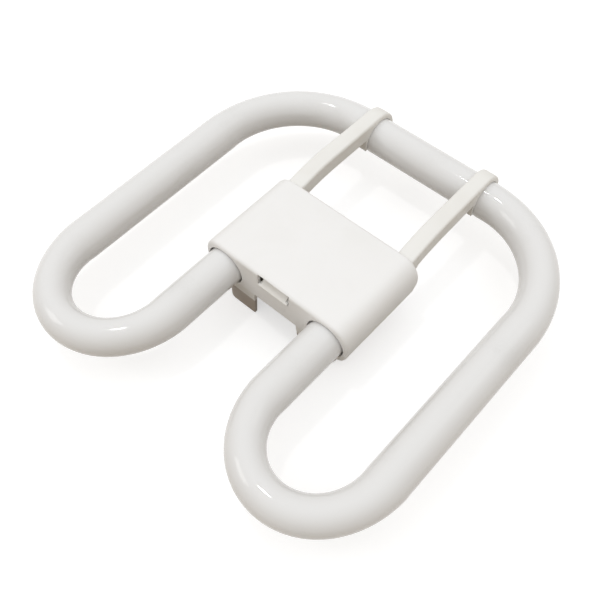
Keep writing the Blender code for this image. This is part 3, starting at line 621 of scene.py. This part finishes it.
class Finish(Enum):
    """The finishes of the lamp, each with its recipe and the record's slot it stands for."""

    GLASS = (CoatedGlass(), "coated_glass")
    COVER = (
        MouldedPlastic(
            "cover_plastic_finish", colour=(0.865, 0.858, 0.848), shade=(0.85, 0.842, 0.828)
        ),
        "cover_plastic",
    )
    BASE = (
        MouldedPlastic(
            "base_plastic_finish",
            colour=(0.83, 0.82, 0.79),
            shade=(0.81, 0.795, 0.76),
            # Painted shade: the skirt below the cover is drawn this dark brown for the shade
            # there.
            painted_shade_colour=(0.40, 0.335, 0.275),
        ),
        "base_plastic",
    )
    PIN = (
        PlatedMetal("pin_metal_finish", colour=(0.80, 0.72, 0.50), dull=(0.62, 0.52, 0.33)),
        "pin_metal",
    )
    WIRE = (
        PlatedMetal(
            "wire_metal_finish",
            colour=(0.74, 0.73, 0.70),
            dull=(0.60, 0.52, 0.44),
            roughness=0.30,
        ),
        "wire_metal",
    )
    SLEEVE = (WovenSleeve(), "sleeve_fibre")
    CEMENT = (CuredCement(), "cement")

    def material(self) -> bpy.types.Material:
        """The finish's material, built at its first use."""
        recipe = self.value[0]
        return bpy.data.materials.get(recipe.name) or recipe.build()

    def dress(self, piece: bpy.types.Object) -> None:
        """Put the finish on every face of a new piece.

        Args:
            piece: The piece, whose own materials are taken off.
        """
        piece.data.materials.clear()
        piece.data.materials.append(self.material())

    def dress_node(self, node: str) -> None:
        """Put the finish on a CAD node that stays as it is.

        Args:
            node: The CAD node's name.
        """
        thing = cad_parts[node]
        for place in thing.material_slots:
            place.material = self.material()


# Sub-assemblies


@dataclass
class DischargeTube:
    """The blown tube: two legs in the cap, two U bends, two sides, two corners and the back run.

    Its halves are mirror images, so the sizes are those of the right half. A bend is two
    quarters of ellipses that meet at its apex, and a corner is one quarter.
    """

    axis_height: float = 0.0242
    leg_x: float = 0.0305
    apex_x: float = 0.0615
    outer_x: float = 0.0923
    front_y: float = -0.09305
    back_y: float = 0.08975
    leg_bend_depth: float = 0.0342
    side_bend_depth: float = 0.0352
    corner_width: float = 0.0518
    corner_depth: float = 0.0525
    leg_radius: float = 0.0096
    bend_radius: float = 0.0087
    side_radius: float = 0.0098
    corner_radius: float = 0.0092
    back_radius: float = 0.0096
    leg_end_y: float = 0.00415
    shoulder_length: float = 0.0050
    shoulder_turn: float = 0.16
    exhaust_radius: float = 0.0018
    exhaust_length: float = 0.0060
    exhaust_turn: float = 0.12
    exhaust_rings: int = 7
    shoulder_rings: int = 16
    run_rings: int = 24
    bend_rings: int = 40
    side_rings: int = 40
    corner_rings: int = 56
    around: int = 72
    sharp_over: float = 50.0

    def drawn_down(self, before: float, after: float, waist: float, count: int) -> np.ndarray:
        """Radii along a bend.

        The straight blend between the two ends, less its excess over the waist times one minus
        the fourth power of the way from the bend's middle to its ends.

        Args:
            before: Radius where the bend starts.
            after: Radius where it ends.
            waist: Radius within it.
            count: How many radii to give.

        Returns:
            An array of that many radii.
        """
        t = np.linspace(0.0, 1.0, count)
        level = before + (after - before) * t
        return level - (level - waist) * (1 - (2 * t - 1) ** 4)

    def exhaust(self) -> Run:
        """The nose of the exhaust tip, where the tube was sealed.

        A round nose: the way back from the tip is the radius times one less the turn's cosine,
        and the section's radius is the same radius times the turn's sine.

        Returns:
            Points of its centre line and as many radii.
        """
        turn = np.linspace(self.exhaust_turn, math.pi / 2, self.exhaust_rings)
        tip_y = self.leg_end_y + self.exhaust_length
        y = tip_y - self.exhaust_radius * (1 - np.cos(turn))
        line = np.stack([np.full(len(turn), self.leg_x), y], axis=-1)
        return line, self.exhaust_radius * np.sin(turn)

    def shoulder(self) -> Run:
        """The rounded end of a leg, from the exhaust tip out to the leg's full width.

        A quarter of an ellipse, as long as the shoulder and as high as the difference between
        the leg's radius and the exhaust tip's.

        Returns:
            Points of its centre line and as many radii.
        """
        turn = np.linspace(self.shoulder_turn, math.pi / 2, self.shoulder_rings)
        y = self.leg_end_y - self.shoulder_length * (1 - np.cos(turn))
        line = np.stack([np.full(len(turn), self.leg_x), y], axis=-1)
        rise = self.leg_radius - self.exhaust_radius
        return line, self.exhaust_radius + rise * np.sin(turn)

    def bend(self, leg_y: float, side_y: float) -> Run:
        """The U bend from the leg to the side.

        Args:
            leg_y: Where the leg ends.
            side_y: Where the side starts.

        Returns:
            Points of its centre line and as many radii.
        """
        inner = arc(
            (self.apex_x, leg_y),
            (self.apex_x - self.leg_x, self.leg_bend_depth),
            np.linspace(math.pi, 1.5 * math.pi, self.bend_rings),
        )
        outer = arc(
            (self.apex_x, side_y),
            (self.outer_x - self.apex_x, self.side_bend_depth),
            np.linspace(1.5 * math.pi, 2 * math.pi, self.bend_rings)[1:],
        )
        line = np.concatenate([inner, outer])
        ends = (self.leg_radius, self.side_radius)
        return line, self.drawn_down(*ends, self.bend_radius, len(line))

    def corner(self, centre: Pair) -> Run:
        """The corner from the side to the back run.

        Args:
            centre: Middle of its ellipse.

        Returns:
            Points of its centre line and as many radii.
        """
        turn = np.linspace(0, math.pi / 2, self.corner_rings)
        line = arc(centre, (self.corner_width, self.corner_depth), turn)
        ends = (self.side_radius, self.back_radius)
        return line, self.drawn_down(*ends, self.corner_radius, len(line))

    def half_path(self) -> Run:
        """The right half, from the exhaust tip to the back run's middle.

        Returns:
            Points of its centre line and as many radii.
        """
        leg_y = self.front_y + self.leg_bend_depth
        side_y = self.front_y + self.side_bend_depth
        centre = (self.outer_x - self.corner_width, self.back_y - self.corner_depth)
        shoulder = self.shoulder()
        leg = straight(shoulder[0][-1], (self.leg_x, leg_y), self.run_rings)
        side = straight((self.outer_x, side_y), (self.outer_x, centre[1]), self.side_rings)
        back = straight((centre[0], self.back_y), (0.0, self.back_y), self.run_rings)
        runs = (
            self.exhaust(),
            shoulder,
            (leg, np.full(len(leg), self.leg_radius)),
            self.bend(leg_y, side_y),
            (side, np.full(len(side), self.side_radius)),
            self.corner(centre),
            (back, np.full(len(back), self.back_radius)),
        )
        lines, radii = zip(*runs)
        return np.concatenate(lines), np.concatenate(radii)

    def build(self) -> bpy.types.Object:
        """The whole tube as one closed skin.

        A point is the centre line's point, plus the radius times the cosine of the angle along
        the line's flat normal, plus the radius times the sine of the angle upwards.

        Returns:
            The tube.
        """
        half, half_r = self.half_path()
        line = np.concatenate([half, (half * (-1, 1))[::-1]])
        radius = np.concatenate([half_r, half_r[::-1]])
        along = np.gradient(line, axis=0)
        along /= np.linalg.norm(along, axis=1, keepdims=True)
        normal = np.stack([along[:, 1], -along[:, 0]], axis=-1)
        angle = np.linspace(0.0, 2 * math.pi, self.around, endpoint=False)
        across = radius[:, None] * np.cos(angle)
        rise = radius[:, None] * np.sin(angle)
        sections = np.empty((len(line), self.around, 3))
        sections[..., :2] = line[:, None, :] + across[..., None] * normal[:, None, :]
        sections[..., 2] = self.axis_height + rise
        tube = swept("tube_glass", sections)
        shade(tube, self.sharp_over)
        Finish.GLASS.dress(tube)
        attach(tube, "root")
        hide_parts("glass_tube")
        LOG.info("%s made with %d rings", tube.name, len(line))
        return tube


@dataclass
class Housing:
    """The cap's cover and base, with their edges eased as moulded."""

    edge_round: float = 0.00022
    edge_steps: int = 2
    round_over: float = 35.0
    sharp_over: float = 32.0

    def build(self) -> None:
        """Dress the cover and the base."""
        for node, name, finish in (
            ("housing_cover", "cap_cover", Finish.COVER),
            ("housing_base", "cap_base", Finish.BASE),
        ):
            piece = merged_copy(node, name)
            shade(piece, self.sharp_over)
            ease_edges(piece, self.edge_round, self.edge_steps, self.round_over)
            finish.dress(piece)
            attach(piece, "root")
            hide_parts(node)
            LOG.info("%s made", name)


@dataclass
class Contacts:
    """Pins, wires, sleeves and cement inside the cap, which keep their CAD shapes."""

    finishes: tuple[tuple[str, Finish], ...] = (
        ("contact_pin", Finish.PIN),
        ("lead_wire", Finish.WIRE),
        ("wire_sleeve", Finish.SLEEVE),
        ("cement_pad", Finish.CEMENT),
    )

    def build(self) -> None:
        """Dress each CAD node by the start of its name."""
        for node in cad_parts:
            for start, finish in self.finishes:
                if node.startswith(start):
                    finish.dress_node(node)
                    LOG.info("%s dressed", node)


# Studio


@dataclass(frozen=True)
class SoftLight:
    """A square soft light: where it hangs, the length of its sides, and its power in watts."""

    name: str
    place: Place
    size: float
    power: float

    def hang(self, target: Place) -> None:
        """Make the light.

        Args:
            target: The point that it faces.
        """
        data = bpy.data.lights.new(self.name, "AREA")
        data.shape = "SQUARE"
        data.size = self.size
        data.energy = self.power
        light = bpy.data.objects.new(self.name, data)
        light.location = self.place
        light.rotation_mode = "QUATERNION"
        light.rotation_quaternion = (Vector(self.place) - Vector(target)).to_track_quat("Z", "Y")
        bpy.context.scene.collection.objects.link(light)


@dataclass
class Studio:
    """Floor, lights, sky and the camera that took the photograph.

    Angles are in degrees. centre_px is the pixel that the aim point falls on. The floor is the
    card colours to the lamp and the shown colour to the camera. The sky is the zenith's colour
    above the height zenith_from, which is the sine of an elevation.
    """

    azimuth: float = 42.6511
    elevation: float = 56.1093
    roll: float = -1.2181
    distance: float = 0.38635
    focal_px: float = 832.915
    centre_px: Pair = (304.668, 272.332)
    image_px: float = 600.0
    sensor_mm: float = 36.0
    nearest: float = 0.01
    farthest: float = 20.0
    aim: Place = (0.0, -0.00175, 0.0242)
    floor_z: float = -0.0002
    floor_reach: float = 3.0
    card: Colour = (0.26, 0.21, 0.15)
    card_shade: Colour = (0.28, 0.23, 0.17)
    card_mottle: Blotches = Blotches(0.05, 2.0)
    shown: Colour = (0.63, 0.63, 0.63)
    floor_glow: float = 0.56
    horizon: Colour = (0.38, 0.275, 0.145)
    zenith: Colour = (1.00, 1.02, 1.04)
    zenith_from: float = 0.8
    lit: Place = (0.0, 0.0, 0.02)
    lights: tuple[SoftLight, ...] = (
        SoftLight("spot", (-0.78, -0.06, 2.88), 0.18, 8.0),
        SoftLight("front", (-1.80, -1.50, 1.86), 1.00, 7.4),
        SoftLight("back", (1.10, 1.50, 2.40), 1.00, 1.6),
    )

    def camera(self) -> None:
        """Place the camera.

        It turns to the aim point from its azimuth and elevation, rolls, and slides sideways
        until the aim point falls on its pixel.
        """
        az, el, roll = (math.radians(v) for v in (self.azimuth, self.elevation, self.roll))
        back = Vector((math.sin(az) * math.cos(el), -math.cos(az) * math.cos(el), math.sin(el)))
        right = (-back).cross(Vector((0, 0, 1))).normalized()
        up = right.cross(-back)
        side = math.cos(roll) * right + math.sin(roll) * up
        top = -math.sin(roll) * right + math.cos(roll) * up
        middle = self.image_px / 2
        per_px = self.distance / self.focal_px
        place = Vector(self.aim) + back * self.distance
        place -= side * (self.centre_px[0] - middle) * per_px
        place += top * (self.centre_px[1] - middle) * per_px

        data = bpy.data.cameras.new("photograph")
        data.sensor_width = self.sensor_mm
        data.lens = self.focal_px / self.image_px * self.sensor_mm
        data.clip_start = self.nearest
        data.clip_end = self.farthest
        camera = bpy.data.objects.new("photograph", data)
        turn = Matrix((side, top, back)).transposed()
        camera.matrix_world = Matrix.Translation(place) @ turn.to_4x4()
        bpy.context.scene.collection.objects.link(camera)
        bpy.context.scene.camera = camera

    def floor(self) -> None:
        """A plain pale floor that shows white to the camera and keeps the lamp's shadow."""
        signs = np.array([(-1, -1, 0), (1, -1, 0), (1, 1, 0), (-1, 1, 0)], float)
        corners = signs * self.floor_reach
        corners[:, 2] = self.floor_z
        thing = mesh_object("floor", corners, [(0, 1, 2, 3)])
        paper = Shader("floor_card")
        seen = paper.seen_as_background()
        card = paper.mix(paper.noise(self.card_mottle), self.card, self.card_shade)
        paper.principled(
            base_color=paper.mix(seen, card, self.shown),
            roughness=0.9,
            specular_ior_level=0.0,
            emission_color=paper.mix(seen, (0.0, 0.0, 0.0), (1.0, 1.0, 1.0)),
            emission_strength=self.floor_glow,
        )
        thing.data.materials.append(paper.material)

    def sky(self) -> None:
        """A surround shown white, which lights the lamp warmer and less from the horizon."""
        world = bpy.data.worlds.new("studio")
        world.use_nodes = True
        dome = Graph(world.node_tree)
        way = dome.add("ShaderNodeTexCoord").outputs["Generated"]
        split = dome.add("ShaderNodeSeparateXYZ", None, {0: way})
        height = Signal(dome, split.outputs["Z"])
        glow = dome.mix(height.ramp(0.0, self.zenith_from), self.horizon, self.zenith)
        shown = dome.mix(dome.seen_as_background(), glow, (1.0, 1.0, 1.0))
        dome.set(dome.tree.nodes["Background"].inputs["Color"], shown)
        bpy.context.scene.world = world

    def build(self) -> None:
        """Set up the whole studio."""
        bpy.context.scene.view_settings.view_transform = "Standard"
        self.camera()
        self.floor()
        self.sky()
        for light in self.lights:
            light.hang(self.lit)


def main() -> None:
    """Build every sub-assembly in order."""
    logging.basicConfig(level=logging.INFO, format="%(name)s: %(message)s")
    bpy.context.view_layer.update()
    Studio().build()
    DischargeTube().build()
    Housing().build()
    Contacts().build()


if __name__ == "__main__":
    main()
